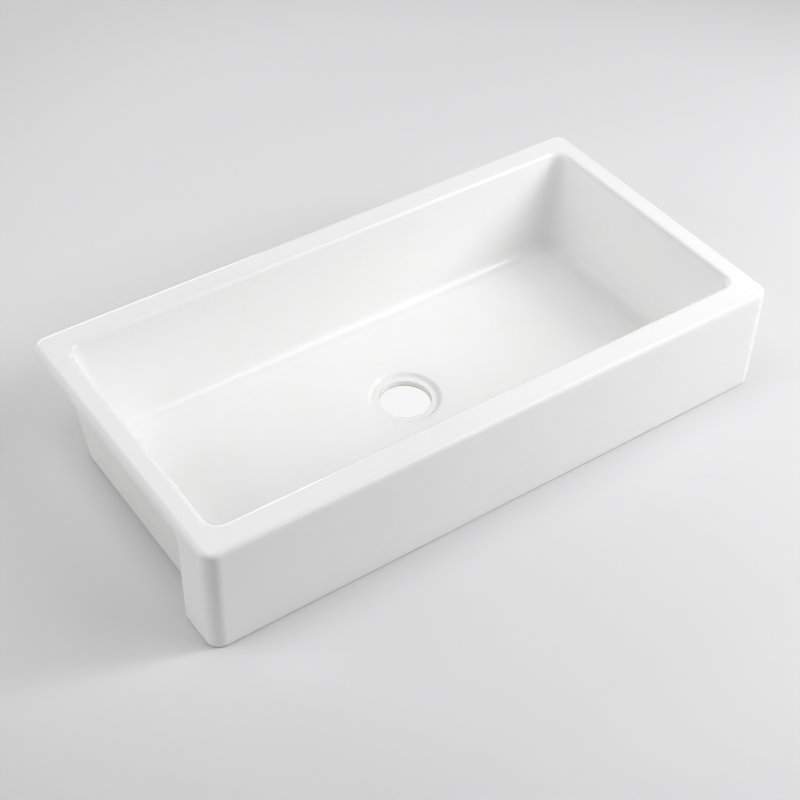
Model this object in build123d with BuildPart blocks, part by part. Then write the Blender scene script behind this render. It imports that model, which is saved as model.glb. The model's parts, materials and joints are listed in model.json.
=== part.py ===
from build123d import *
import os
from math import radians, tan

# Farmhouse apron front sink: a bare glazed fireclay casting with one bowl.
# Millimetres, +Z up. The origin is on the surface the sink stands on, under the middle of its outline.
# +X runs along the sink's length, and the apron faces -Y.

os.makedirs("parts", exist_ok=True)

# ---- overall size ----
sink_length = 1067.0  # left to right, over the rim
sink_depth = 554.0  # front of the apron to the back of the rim
sink_height = 199.0  # base to the top of the rim

# ---- rim ----
rim_side = 39.0  # ledge width at the left and right of the bowl mouth
rim_back = 46.0  # ledge width behind the bowl mouth
rim_front = 50.0  # ledge width between the bowl mouth and the apron's face
rim_thickness = 25.0
rebate_depth = 5.0  # how far the basin's and the apron's upper edges are let up into the rim
rim_corner_radius = 24.0  # outer corners in plan, shared with the apron's vertical corners
rim_top_round = 9.0  # outer top edge
lower_round = 4.0  # outer lower edge of the rim, carried on down the returns and along the apron's foot
mouth_corner_radius = 22.0  # bowl mouth corners in plan
mouth_round = 10.0  # edge where the rim's top rolls into the bowl

# ---- bowl ----
bowl_draft = 10.0  # degrees that the bowl's walls lean in towards its floor
floor_corner_radius = 32.0  # vertical corners of the bowl, where they reach the floor
floor_round = 24.0  # hollow round between the walls and the floor
floor_thickness = 20.0  # at the edge of the floor, over the flat base

# ---- drain ----
drain_bore_diameter = 88.9
drain_bore_round = 1.0  # softened upper edge of the bore
drain_seat_diameter = 115.0  # flat ring that a strainer's flange is bedded on
drain_seat_thickness = 10.0  # ceramic left under the seat, which is the bore's length
recess_flare = 4.0  # how much further out the recess's lip stands than the edge of its seat
recess_round = 5.0  # at the recess's lip, and at the foot of its wall
dish_width = 29.0  # shallow dish between its rim and the recess's lip
dish_depth = 2.0
fall_drop = 1.5  # how far the floor falls from its edge to the rim of the dish
fall_margin = 5.0  # flat floor left between the start of the fall and the hollow round
drain_setback = 3.0  # how far the drain stands behind the middle of the bowl

# ---- outside of the basin ----
side_wall = 24.0  # wall thicknesses at the rim's top; the walls thicken towards the floor
back_wall = 24.0
front_wall = 18.0
basin_draft = 5.0  # degrees that the walls' outsides lean in towards the base
basin_corner_radius = 70.0
basin_foot_round = 13.0

# ---- apron ----
apron_thickness = 18.0
return_depth = 85.0  # how far the apron's ends reach back from its face
return_thickness = 32.0  # before the basin is let into it
return_flare_radius = 15.0  # hollow round between a return's back edge and the rim's underside
return_heel_radius = 6.0  # lower back corner of a return, seen from the side
apron_pocket_radius = 12.0  # inside corners behind the panel

# ---- webs behind the apron ----
web_thickness = 16.0
web_spacing = 300.0
web_foot_gap = 10.0  # the webs stop short of the base, so that they never bear on it

# ---- working values ----
cut_past = 10.0  # how far a cutting shape runs past the face that it opens
touch = 0.01  # how near two places are when they count as the same

# ---- places that follow from the sizes ----
side_x = sink_length / 2
front_y = -sink_depth / 2
back_y = sink_depth / 2
rim_underside = sink_height - rim_thickness
rebate_z = rim_underside + rebate_depth

mouth_length = sink_length - 2 * rim_side
mouth_depth = sink_depth - rim_front - rim_back
mouth_y = (rim_front - rim_back) / 2
bowl_lean = (sink_height - floor_thickness) * tan(radians(bowl_draft))

basin_length = mouth_length + 2 * side_wall
basin_depth = mouth_depth + front_wall + back_wall
basin_y = mouth_y + (back_wall - front_wall) / 2
basin_top_lean = (sink_height - rebate_z) * tan(radians(basin_draft))
basin_foot_lean = sink_height * tan(radians(basin_draft))

drain_y = mouth_y + drain_setback
bore_radius = drain_bore_diameter / 2
seat_radius = drain_seat_diameter / 2
lip_radius = seat_radius + recess_flare
lip_z = floor_thickness - fall_drop - dish_depth
dish_radius = lip_radius + dish_width
dish_z = floor_thickness - fall_drop
flat_half_depth = mouth_depth / 2 - bowl_lean - floor_round
fall_radius = flat_half_depth - abs(drain_setback) - fall_margin

return_back_y = front_y + return_depth
flare_back_y = return_back_y + return_flare_radius
apron_back_y = front_y + apron_thickness

# ---- forms that several pieces share ----

# The sink's outline in plan.
with BuildSketch() as outline:
    RectangleRounded(sink_length, sink_depth, rim_corner_radius)

# The space inside the bowl, from the rim's top down to the edge of the floor.
with BuildPart() as bowl_space:
    with BuildSketch(Plane.XY.offset(sink_height)):
        with Locations((0, mouth_y)):
            RectangleRounded(mouth_length, mouth_depth, mouth_corner_radius)
    with BuildSketch(Plane.XY.offset(floor_thickness)):
        with Locations((0, mouth_y)):
            RectangleRounded(mouth_length - 2 * bowl_lean, mouth_depth - 2 * bowl_lean, floor_corner_radius)
    loft(ruled=True)
    fillet(bowl_space.faces().sort_by(Axis.Z)[0].edges(), floor_round)

# The floor's fall, the dish, the recess, the seat and the bore, turned about the drain's axis.
with BuildPart() as drain_space:
    with BuildSketch(Plane.XZ.offset(-drain_y)):
        with BuildLine():
            fall = TangentArc((fall_radius, floor_thickness), (dish_radius, dish_z), tangent=(-1, 0))
            dish = TangentArc(fall @ 1, (lip_radius, lip_z), tangent=fall % 1)
            Polyline(
                dish @ 1,
                (seat_radius, drain_seat_thickness),
                (bore_radius, drain_seat_thickness),
                (bore_radius, -cut_past),
                (0, -cut_past),
                (0, floor_thickness + cut_past),
                (fall_radius, floor_thickness + cut_past),
                fall @ 0,
            )
        make_face()
        lip_corner = vertices().sort_by_distance((lip_radius, lip_z))[0]
        seat_corner = vertices().sort_by_distance((seat_radius, drain_seat_thickness))[0]
        fillet((lip_corner, seat_corner), recess_round)
        bore_corner = vertices().sort_by_distance((bore_radius, drain_seat_thickness))[0]
        fillet(bore_corner, drain_bore_round)
    revolve(axis=Axis((0, drain_y, 0), (0, 0, 1)))

# The outside of the tub, up to the bottom of the rim's rebate.
with BuildPart() as tub_outside:
    with BuildSketch(Plane.XY.offset(rebate_z)):
        with Locations((0, basin_y)):
            RectangleRounded(
                basin_length - 2 * basin_top_lean, basin_depth - 2 * basin_top_lean, basin_corner_radius
            )
    with BuildSketch(Plane.XY):
        with Locations((0, basin_y)):
            RectangleRounded(
                basin_length - 2 * basin_foot_lean, basin_depth - 2 * basin_foot_lean, basin_corner_radius
            )
    loft(ruled=True)
    fillet(tub_outside.faces().sort_by(Axis.Z)[0].edges(), basin_foot_round)

# The outside that the rim and the apron share: a ledge over a full-height front block.
with BuildPart() as outer_form:
    add(outline)
    extrude(amount=sink_height)
    with BuildSketch(Plane.YZ):
        with BuildLine():
            heel = TangentArc(
                (return_back_y - return_heel_radius, 0), (return_back_y, return_heel_radius), tangent=(1, 0)
            )
            back_edge = Line(heel @ 1, (return_back_y, rim_underside - return_flare_radius))
            flare = TangentArc(back_edge @ 1, (flare_back_y, rim_underside), tangent=(0, 1))
            Polyline(
                flare @ 1,
                (back_y + cut_past, rim_underside),
                (back_y + cut_past, -cut_past),
                (return_back_y - return_heel_radius, -cut_past),
                heel @ 0,
            )
        make_face()
    extrude(amount=side_x + cut_past, both=True, mode=Mode.SUBTRACT)
    fillet(outer_form.faces().sort_by(Axis.Z)[-1].edges(), rim_top_round)
    rim_wire = outline.wire()
    lower_edges = outer_form.edges().filter_by(
        lambda edge: edge.bounding_box().max.Z < rim_underside + touch
        and rim_wire.distance_to(Vector((edge @ 0.5).X, (edge @ 0.5).Y, 0)) < touch
    )
    fillet(lower_edges, lower_round)

# ---- basin: walls, floor, drain recess and bore ----
with BuildPart() as basin:
    add(tub_outside.part)
    add(bowl_space.part, mode=Mode.SUBTRACT)
    add(drain_space.part, mode=Mode.SUBTRACT)
basin.part.label = "basin"
export_step(basin.part, "parts/basin.step")

# ---- apron: the front panel with its two returns, let onto the basin ----
with BuildPart() as apron:
    add(outer_form.part)
    split(bisect_by=Plane.XY.offset(rebate_z), keep=Keep.BOTTOM)
    split(bisect_by=Plane.XZ.offset(-flare_back_y), keep=Keep.TOP)
    with BuildSketch():
        with Locations((0, apron_back_y + return_depth / 2)):
            RectangleRounded(sink_length - 2 * return_thickness, return_depth, apron_pocket_radius)
    extrude(amount=rebate_z, mode=Mode.SUBTRACT)
    add(tub_outside.part, mode=Mode.SUBTRACT)
apron.part.label = "apron"
export_step(apron.part, "parts/apron.step")

# ---- rim flange: the ledge round the bowl mouth, rebated over the basin and the apron ----
with BuildPart() as rim_flange:
    add(outer_form.part)
    split(bisect_by=Plane.XY.offset(rim_underside), keep=Keep.TOP)
    add(bowl_space.part, mode=Mode.SUBTRACT)
    mouth_wire = rim_flange.faces().sort_by(Axis.Z)[-1].inner_wires()[0]
    fillet(mouth_wire.edges(), mouth_round)
    add(tub_outside.part, mode=Mode.SUBTRACT)
    add(apron.part, mode=Mode.SUBTRACT)
rim_flange.part.label = "rim_flange"
export_step(rim_flange.part, "parts/rim_flange.step")

# ---- webs: upright ties between the apron's back and the basin's front wall ----
for side, web_x in (("left", -web_spacing), ("centre", 0), ("right", web_spacing)):
    with BuildPart() as web:
        with BuildSketch(Plane.XY.offset(web_foot_gap)):
            with Locations((web_x, apron_back_y)):
                Rectangle(web_thickness, rim_front, align=(Align.CENTER, Align.MIN))
        extrude(amount=rim_underside - web_foot_gap)
        add(tub_outside.part, mode=Mode.SUBTRACT)
    web.part.label = f"apron_web_{side}"
    export_step(web.part, f"parts/apron_web_{side}.step")
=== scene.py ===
import json
from math import cos, radians, sin

import bmesh
import bpy
from mathutils import Matrix, Vector


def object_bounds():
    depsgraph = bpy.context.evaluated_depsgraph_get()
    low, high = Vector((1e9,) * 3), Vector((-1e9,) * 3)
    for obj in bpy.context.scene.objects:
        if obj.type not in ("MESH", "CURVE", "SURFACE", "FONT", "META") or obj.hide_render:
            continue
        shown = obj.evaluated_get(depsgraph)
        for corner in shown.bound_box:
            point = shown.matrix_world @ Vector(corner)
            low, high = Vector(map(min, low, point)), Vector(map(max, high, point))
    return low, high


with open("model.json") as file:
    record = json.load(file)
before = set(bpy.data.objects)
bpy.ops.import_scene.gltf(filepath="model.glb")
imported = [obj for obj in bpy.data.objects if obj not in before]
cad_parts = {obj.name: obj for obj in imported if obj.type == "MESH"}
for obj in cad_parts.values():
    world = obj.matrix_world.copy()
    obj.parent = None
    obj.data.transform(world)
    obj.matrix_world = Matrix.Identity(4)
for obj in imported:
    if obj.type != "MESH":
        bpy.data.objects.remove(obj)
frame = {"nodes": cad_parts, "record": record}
cad_low, cad_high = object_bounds()

# ---- places read from the frame, in metres ----
mounts = {mount["name"]: mount for mount in frame["record"]["mounts"]}
drain_x, drain_y = mounts["drain_bore"]["pos_m"][:2]
seat_z = mounts["drain_seat"]["pos_m"][2]
bore_radius = mounts["drain_bore"]["dims"]["r_mm"] / 1000
rim_top = cad_high[2]

# ---- camera: the photograph's view, aimed into the bowl a little to the left and front of its middle ----
camera_yaw = -35.59  # degrees, turned from looking along +Y
camera_pitch = 42.95  # degrees below the horizon
camera_roll = 1.36
camera_distance = 2.5954
camera_aim = Vector((-0.06387, -0.06935, 0.09848))
camera_sensor = 36.0
camera_lens = 72.634

# ---- light: soft boxes on a dome. Angles are in degrees, sizes in metres and power in watts ----
world_strength = 0.13
lamp_distance = 3.0
lamp_target = (0, 0, 0.1)
lamps = (
    # name, azimuth from +X towards +Y, elevation, width, height, power
    ("key", -30, 32, 0.7, 1.2, 32),
    ("front_top", -45, 45, 2.0, 2.0, 34),
    ("front_low", -30, 12, 1.6, 1.6, 7),
    ("left_back", 165, 30, 2.0, 2.0, 29),
    ("back_low", 90, 15, 2.0, 2.0, 33),
    ("back_right", 45, 30, 2.0, 2.0, 6),
    ("overhead", 180, 75, 1.2, 1.2, 14),
)

# Sizes below are in metres. A scale is a count of cells to a metre. A fade is the pair of values that a
# pattern or a distance goes between as its effect sets in.

# ---- glaze: colours and gloss ----
glaze_specular = 0.4
glaze_roughness = (0.06, 0.13)
glaze_roughness_fade = (0.25, 0.8)
hidden_dulling = 0.1  # added to the roughness where the hidden coat is full
glaze_white = (0.93, 0.93, 0.93, 1)
glaze_cloud = (0.905, 0.905, 0.9, 1)  # where the glaze lies a little thinner
glaze_hidden = (0.865, 0.86, 0.84, 1)  # one thin coat on the sides that a cabinet hides
bore_painted_light = (0.9, 0.88, 0.85, 1)  # painted light: a lighter colour on the bore's wall, standing in for light from below the hole
recess_painted_shade = (0.82, 0.82, 0.815, 1)  # painted shade: darkens the steep wall of the drain recess, where the light falls bright
glaze_arris = (0.74, 0.72, 0.69, 1)  # where the glaze breaks thin over the bore's upper edge
iron_brown = (0.45, 0.38, 0.3, 1)

# ---- glaze: where it is thinner ----
cloud_scale = 6
cloud_fade = (0.35, 0.75)
cloud_thinning = 0.5
mottle_scale = 95
mottle_fade = (0.3, 0.8)
mottle_thinning = 0.35
rounded_fade = (0.95, 0.75)  # a normal's largest part, from nearly square to the axes to well rounded
upper_edge_drop = (0.014, 0.008)  # how far below the rim's top the thinning sets in, and is full
upper_edge_thinning = 0.5
downward_fade = (0.5, 0.8)
hidden_side_fade = (0.01, 0.04)
patch_scale = 22
patch_fade = (0.3, 0.7)
patch_coat = (0.5, 0.95)  # how much of the hidden coat's colour shows
# painted shade on the drain recess's steep wall: its strength, and the radii over which it sets in
recess_shade_strength = 0.6
recess_shade_inner_fade = (0.053, 0.056)  # radii about the drain's axis, at the foot of the recess's wall
recess_shade_outer_fade = (0.064, 0.059)  # radii about the drain's axis, past the recess's lip

# ---- glaze: iron specks and pinholes ----
iron_scale = 45
iron_strength = 0.5
pinhole_scale = 60
pinhole_shift = (3.1, 1.7, 0.4)  # sets the pinholes apart from the iron specks
speck_radius = 0.03  # in cells
speck_share = 0.12
speck_core = 0.5  # share of a dot's radius at which it is full

# ---- bare clay and thin glaze at the foot and the bore ----
wobble_scale = 60
glaze_foot = 0.001  # height that the glaze is wiped back to above the base
foot_fade = 0.0008
foot_wobble = 0.002
bore_foot_fade = (0.0012, 0.0002)  # heights above the base
bore_foot_wobble = 0.003
bore_reach = 0.0025  # how far past the bore's radius its wall's finish may go
bore_light_drop = (0.0004, 0.0012)  # how far below the seat the painted light on the bore's wall sets in, and is full
arris_spread = (0.0016, 0.0006)  # how far past the bore's radius the broken glaze sets in, and is full
arris_rise = (0.002, 0.001)  # how far above the seat it stops, and is full

# ---- relief ----
ripple_scale = 11  # the slow waviness of a slip-cast wall
ripple_depth = 0.00015
peel_scale = 130  # the glaze's orange peel
peel_depth = 0.000012
pinhole_depth = 0.00005
grit_depth = 0.0003
wipe_depth = 0.0004

# ---- bare clay ----
clay_light = (0.7, 0.65, 0.57, 1)
clay_dark = (0.52, 0.47, 0.41, 1)
grog_brown = (0.3, 0.25, 0.2, 1)
clay_cloud_scale = 14
grit_scale = 650
grit_fade = (0.3, 0.7)
clay_roughness_range = (0.78, 0.95)
grog_scale = 260
grog_radius = 0.32
grog_share = 0.3
grog_strength = 0.55
wipe_scale = 240
wipe_stretch = (1, 1, 0.08)  # draws the wipe marks out along Z
splash_scale = 28
splash_fade = (0.6, 0.68)
splash_roughness = 0.3

# ---- floor ----
floor_half = 12.0
floor_tone = (0.765, 0.765, 0.775, 1)
floor_roughness = 0.9
contact_reach = 0.11  # how far out the shade at the sink's foot is felt
contact_rays = 16
contact_fade = (0.45, 1.0)
contact_tone = 0.92  # share of the floor's tone that is left at the foot
light_pool_centre = (0.35, 0.1, 0)  # painted pool of light: the floor's colour is palest here, and darkens with distance from it
light_pool_start = 0.9
light_pool_end = 1.7
light_pool_edge_tone = 0.76  # share of the floor's tone that is left past the painted pool of light's outer edge
hole_white = 0.92  # the plain white that shows through the drain hole
hole_reach = 1.6  # radius of that white, in bore radii


# ---- node helpers ----
def add_node(tree, kind, inputs=None, **settings):
    """Adds a shader node. Inputs are values, or outputs of other nodes, by the sockets' names or numbers."""
    node = tree.nodes.new(kind)
    for name, value in settings.items():
        setattr(node, name, value)
    for socket, value in (inputs or {}).items():
        if isinstance(value, bpy.types.NodeSocket):
            tree.links.new(value, node.inputs[socket])
        else:
            node.inputs[socket].default_value = value
    return node


def maths(tree, operation, first, second, clamp=False):
    node = add_node(tree, "ShaderNodeMath", {0: first, 1: second}, operation=operation, use_clamp=clamp)
    return node.outputs[0]


def vector_maths(tree, operation, first, second=(0, 0, 0)):
    return add_node(tree, "ShaderNodeVectorMath", {0: first, 1: second}, operation=operation)


def distance(tree, first, second):
    return vector_maths(tree, "DISTANCE", first, second).outputs["Value"]


def axis_parts(tree, vector):
    return add_node(tree, "ShaderNodeSeparateXYZ", {0: vector}).outputs


def noise(tree, place, scale, detail=2.0, roughness=0.5):
    inputs = {"Vector": place, "Scale": scale, "Detail": detail, "Roughness": roughness}
    return add_node(tree, "ShaderNodeTexNoise", inputs).outputs["Fac"]


def ramp(tree, value, start, end, low=0.0, high=1.0):
    """Eases from low to high as the value goes from start to end."""
    inputs = {"Value": value, "From Min": start, "From Max": end, "To Min": low, "To Max": high}
    return add_node(tree, "ShaderNodeMapRange", inputs, interpolation_type="SMOOTHSTEP").outputs["Result"]


def mix_colour(tree, factor, first, second):
    return add_node(tree, "ShaderNodeMix", {0: factor, 6: first, 7: second}, data_type="RGBA").outputs[2]


def mix_number(tree, factor, first, second):
    return add_node(tree, "ShaderNodeMix", {0: factor, 2: first, 3: second}).outputs[0]


def bump(tree, height, depth, normal=None):
    """Raises the surface by depth metres where height is 1."""
    inputs = {"Height": height, "Distance": depth, "Strength": 1.0}
    if normal:
        inputs["Normal"] = normal
    return add_node(tree, "ShaderNodeBump", inputs).outputs["Normal"]


def new_material(name):
    material = bpy.data.materials.new(name)
    material.use_nodes = True
    tree = material.node_tree
    return material, tree, tree.nodes["Principled BSDF"]


def object_place(tree):
    return add_node(tree, "ShaderNodeTexCoord").outputs["Object"]


def specks(tree, place, scale, radius, share):
    """Round dots of this radius in cells, in this share of the cells."""
    cells = add_node(tree, "ShaderNodeTexVoronoi", {"Vector": place, "Scale": scale})
    near = ramp(tree, cells.outputs["Distance"], radius, radius * speck_core)
    lot = add_node(tree, "ShaderNodeSeparateColor", {0: cells.outputs["Color"]}).outputs[0]
    return maths(tree, "MULTIPLY", near, maths(tree, "LESS_THAN", lot, share))


# ---- materials ----
def clay_surface(tree, place):
    """Colour, roughness and height of fired clay without glaze: buff, gritty, with darker grog."""
    cloud = noise(tree, place, clay_cloud_scale, 3)
    grit = noise(tree, place, grit_scale, 4, 0.65)
    grog = specks(tree, place, grog_scale, grog_radius, grog_share)
    colour = mix_colour(tree, cloud, clay_light, clay_dark)
    colour = mix_colour(tree, maths(tree, "MULTIPLY", grog, grog_strength), colour, grog_brown)
    return colour, ramp(tree, grit, *grit_fade, *clay_roughness_range), grit


def glaze_thinness(tree, place, height, normal, mottle):
    """Broad clouds, a fine mottle, and a slightly thinner coat on the rounded upper edges."""
    cloud = ramp(tree, noise(tree, place, cloud_scale, 3), *cloud_fade, 0, cloud_thinning)
    thin = maths(tree, "ADD", cloud, ramp(tree, mottle, *mottle_fade, 0, mottle_thinning))
    facing = axis_parts(tree, vector_maths(tree, "ABSOLUTE", normal).outputs[0])
    squarest = maths(tree, "MAXIMUM", maths(tree, "MAXIMUM", facing[0], facing[1]), facing[2])
    rounded = ramp(tree, squarest, *rounded_fade)
    near_top = ramp(tree, height, *(rim_top - drop for drop in upper_edge_drop))
    upper_edge = maths(tree, "MULTIPLY", rounded, near_top)
    return maths(tree, "ADD", thin, maths(tree, "MULTIPLY", upper_edge, upper_edge_thinning), clamp=True)


def hidden_coat_share(tree, place, flat_place, normal, hidden_side):
    """One thin, patchy coat on what faces down, and on the side that a cabinet hides."""
    outward = vector_maths(tree, "DOT_PRODUCT", normal, flat_place).outputs["Value"]
    down = maths(tree, "MULTIPLY", axis_parts(tree, normal)["Z"], -1)
    hidden = ramp(tree, down, *downward_fade)
    if hidden_side:
        side = maths(tree, "MULTIPLY", outward, hidden_side)
        hidden = maths(tree, "MAXIMUM", hidden, ramp(tree, side, *hidden_side_fade))
    patches = ramp(tree, noise(tree, place, patch_scale, 2), *patch_fade, *patch_coat)
    return maths(tree, "MULTIPLY", hidden, patches)


def glaze_material(name, hidden_side):
    """Glossy white glaze over clay. The hidden side faces away from the sink's middle (1), towards it (-1),
    or is only what faces down (0)."""
    material, tree, shader = new_material(name)
    place = object_place(tree)
    flat_place = vector_maths(tree, "MULTIPLY", place, (1, 1, 0)).outputs[0]
    height = axis_parts(tree, place)["Z"]
    from_axis = distance(tree, flat_place, (drain_x, drain_y, 0))
    normal = add_node(tree, "ShaderNodeNewGeometry").outputs["Normal"]
    mottle = noise(tree, place, mottle_scale, 3, 0.6)
    wobble = noise(tree, place, wobble_scale, 3)

    thin = glaze_thinness(tree, place, height, normal, mottle)
    colour = mix_colour(tree, thin, glaze_white, glaze_cloud)
    hidden_coat = hidden_coat_share(tree, place, flat_place, normal, hidden_side)
    colour = mix_colour(tree, hidden_coat, colour, glaze_hidden)

    # Pinholes and the odd iron speck, as fired fireclay has.
    iron = specks(tree, place, iron_scale, speck_radius, speck_share)
    colour = mix_colour(tree, maths(tree, "MULTIPLY", iron, iron_strength), colour, iron_brown)
    pinhole_place = vector_maths(tree, "ADD", place, pinhole_shift).outputs[0]
    pinholes = specks(tree, pinhole_place, pinhole_scale, speck_radius, speck_share)

    # The glaze breaks thin over the bore's upper edge. Painted shade darkens the recess's steep wall.
    arris = ramp(tree, from_axis, *(bore_radius + spread for spread in arris_spread))
    arris_low = ramp(tree, height, *(seat_z + rise for rise in arris_rise))
    colour = mix_colour(tree, maths(tree, "MULTIPLY", arris, arris_low), colour, glaze_arris)
    recess_shade_in = ramp(tree, from_axis, *recess_shade_inner_fade)
    recess_shade_out = ramp(tree, from_axis, *recess_shade_outer_fade)
    recess_shade = maths(tree, "MULTIPLY", maths(tree, "MULTIPLY", recess_shade_in, recess_shade_out), recess_shade_strength)
    colour = mix_colour(tree, recess_shade, colour, recess_painted_shade)

    # Painted light: a lighter colour on the wall of the drain bore.
    in_bore = maths(tree, "LESS_THAN", from_axis, bore_radius + bore_reach)
    wall = ramp(tree, height, *(seat_z - drop for drop in bore_light_drop))
    colour = mix_colour(tree, maths(tree, "MULTIPLY", in_bore, wall), colour, bore_painted_light)

    # Bare clay where the glaze is wiped off: the sink's foot, and the foot of the bore.
    foot_height = maths(tree, "SUBTRACT", height, maths(tree, "MULTIPLY", wobble, foot_wobble))
    foot = ramp(tree, foot_height, glaze_foot, glaze_foot - foot_fade)
    bore_height = maths(tree, "SUBTRACT", height, maths(tree, "MULTIPLY", wobble, bore_foot_wobble))
    bore_foot = maths(tree, "MULTIPLY", in_bore, ramp(tree, bore_height, *bore_foot_fade))
    bare = maths(tree, "MAXIMUM", foot, bore_foot)
    clay_colour, clay_roughness, grit = clay_surface(tree, place)
    tree.links.new(mix_colour(tree, bare, colour, clay_colour), shader.inputs["Base Color"])

    # Gloss, a little duller on the hidden sides.
    gloss = ramp(tree, mottle, *glaze_roughness_fade, *glaze_roughness)
    gloss = maths(tree, "ADD", gloss, maths(tree, "MULTIPLY", hidden_coat, hidden_dulling))
    tree.links.new(mix_number(tree, bare, gloss, clay_roughness), shader.inputs["Roughness"])

    relief = bump(tree, noise(tree, place, ripple_scale, 1), ripple_depth)
    relief = bump(tree, noise(tree, place, peel_scale, 2), peel_depth, relief)
    relief = bump(tree, pinholes, -pinhole_depth, relief)
    relief = bump(tree, maths(tree, "MULTIPLY", grit, bare), grit_depth, relief)
    tree.links.new(relief, shader.inputs["Normal"])
    shader.inputs["Specular IOR Level"].default_value = glaze_specular
    return material


def clay_material():
    """Bare clay with wipe marks that run up it, and thin runs of glaze caught on it."""
    material, tree, shader = new_material("bare_clay_webs")
    place = object_place(tree)
    colour, roughness, grit = clay_surface(tree, place)
    stretched = vector_maths(tree, "MULTIPLY", place, wipe_stretch).outputs[0]
    wipes = noise(tree, stretched, wipe_scale, 3)
    splash = ramp(tree, noise(tree, place, splash_scale, 4, 0.7), *splash_fade)
    tree.links.new(mix_colour(tree, splash, colour, glaze_hidden), shader.inputs["Base Color"])
    tree.links.new(mix_number(tree, splash, roughness, splash_roughness), shader.inputs["Roughness"])
    tree.links.new(bump(tree, grit, grit_depth, bump(tree, wipes, wipe_depth)), shader.inputs["Normal"])
    return material


def floor_material():
    """Pale matt studio floor, with a painted pool of light, a soft shade at the sink's foot and plain white
    under the drain hole.
    """
    material, tree, shader = new_material("studio_floor")
    place = object_place(tree)
    reach = {"Distance": contact_reach}
    shelter = add_node(tree, "ShaderNodeAmbientOcclusion", reach, samples=contact_rays).outputs["AO"]
    contact = ramp(tree, shelter, *contact_fade, contact_tone, 1.0)
    # painted pool of light: the floor's colour darkens away from its palest spot
    light_pool_falloff = ramp(tree, distance(tree, place, light_pool_centre), light_pool_start, light_pool_end, 1.0, light_pool_edge_tone)
    tone = vector_maths(tree, "SCALE", floor_tone[:3])
    tree.links.new(maths(tree, "MULTIPLY", contact, light_pool_falloff), tone.inputs["Scale"])
    tree.links.new(tone.outputs[0], shader.inputs["Base Color"])
    shader.inputs["Roughness"].default_value = floor_roughness

    from_axis = distance(tree, place, (drain_x, drain_y, 0))
    under_hole = maths(tree, "LESS_THAN", from_axis, bore_radius * hole_reach)
    seen = add_node(tree, "ShaderNodeLightPath").outputs["Is Camera Ray"]
    white = add_node(tree, "ShaderNodeEmission", {"Color": (hole_white, hole_white, hole_white, 1)})
    mixed = add_node(tree, "ShaderNodeMixShader", {0: maths(tree, "MULTIPLY", under_hole, seen)})
    tree.links.new(shader.outputs[0], mixed.inputs[1])
    tree.links.new(white.outputs[0], mixed.inputs[2])
    tree.links.new(mixed.outputs[0], tree.nodes["Material Output"].inputs["Surface"])
    return material


def area_lamp(name, place, target, size, power):
    data = bpy.data.lights.new(name, "AREA")
    data.shape = "RECTANGLE"
    data.size, data.size_y = size
    data.energy = power
    lamp = bpy.data.objects.new(name, data)
    lamp.location = place
    lamp.rotation_euler = (Vector(target) - Vector(place)).to_track_quat("-Z", "Y").to_euler()
    bpy.context.scene.collection.objects.link(lamp)


# ---- the camera ----
turn = (
    Matrix.Rotation(radians(camera_yaw), 4, "Z")
    @ Matrix.Rotation(radians(90 - camera_pitch), 4, "X")
    @ Matrix.Rotation(radians(camera_roll), 4, "Z")
)
camera_data = bpy.data.cameras.new("camera")
camera_data.sensor_width = camera_sensor
camera_data.lens = camera_lens
camera = bpy.data.objects.new("camera", camera_data)
camera.matrix_world = Matrix.Translation(camera_aim) @ turn @ Matrix.Translation((0, 0, camera_distance))
bpy.context.scene.collection.objects.link(camera)
bpy.context.scene.camera = camera
bpy.context.scene.view_settings.view_transform = "Standard"

# ---- the light ----
world = bpy.data.worlds.new("studio")
bpy.context.scene.world = world
world.use_nodes = True
background = world.node_tree.nodes["Background"]
background.inputs["Color"].default_value = (1, 1, 1, 1)
background.inputs["Strength"].default_value = world_strength
for name, azimuth, elevation, width, height, power in lamps:
    around, above = radians(azimuth), radians(elevation)
    direction = Vector((cos(around) * cos(above), sin(around) * cos(above), sin(above)))
    area_lamp(name, direction * lamp_distance, lamp_target, (width, height), power)

# ---- the floor ----
floor_mesh = bpy.data.meshes.new("floor")
floor_form = bmesh.new()
bmesh.ops.create_grid(floor_form, x_segments=1, y_segments=1, size=floor_half)
floor_form.to_mesh(floor_mesh)
floor_form.free()
floor = bpy.data.objects.new("floor", floor_mesh)
bpy.context.scene.collection.objects.link(floor)
floor_mesh.materials.append(floor_material())

# ---- the sink's finish ----
finishes = {
    "basin": glaze_material("glaze_basin", hidden_side=1),
    "apron": glaze_material("glaze_apron", hidden_side=-1),
    "rim_flange": glaze_material("glaze_rim", hidden_side=0),
}
webs = clay_material()
for name, node in frame["nodes"].items():
    node.material_slots[0].material = finishes.get(name, webs)
